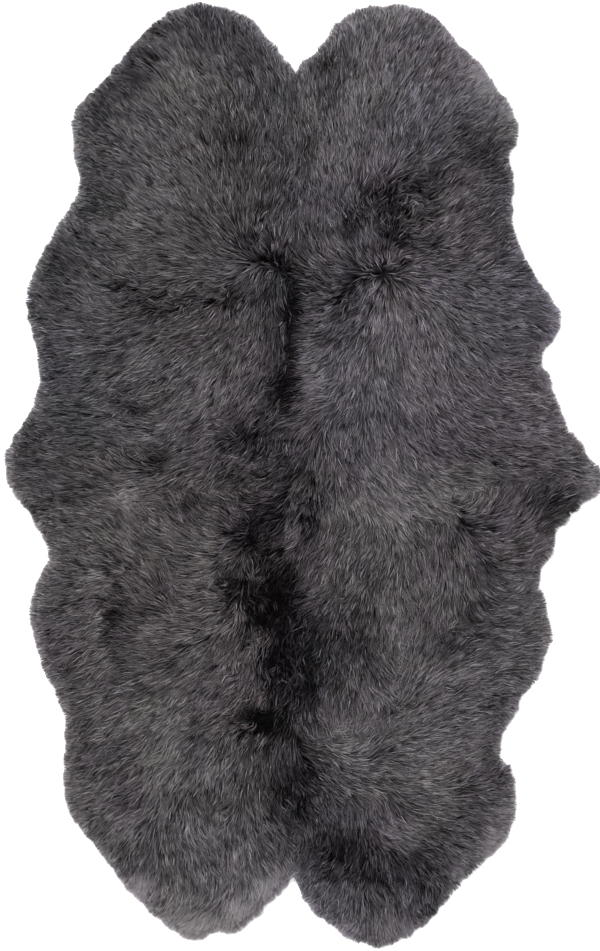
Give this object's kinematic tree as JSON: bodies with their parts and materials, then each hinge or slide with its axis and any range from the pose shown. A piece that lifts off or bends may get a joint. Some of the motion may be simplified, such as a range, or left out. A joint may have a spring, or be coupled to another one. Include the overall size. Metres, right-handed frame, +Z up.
{
  "type": "sheepskin rug",
  "caption": "Sheepskin rug of pelts sewn edge to edge, with deep combed dark grey wool and a scalloped rim, laid flat on a floor as a soft covering.",
  "frame": {"origin": "on the floor under the middle of the rug's box", "axes": "+X to the right and +Y to the head end seen from above, +Z up out of the pile"},
  "size_m": [1.138, 1.8109, 0.0538],
  "materials": {
    "wool": "long combed wool pile, matte with a soft sheen",
    "hide": "suede flesh side of the hide, matte"
  },
  "bodies": {
    "root": {"pelt_upper_left": "wool", "pelt_upper_right": "wool", "pelt_lower_left": "wool", "pelt_lower_right": "wool"}
  },
  "joints": []
}
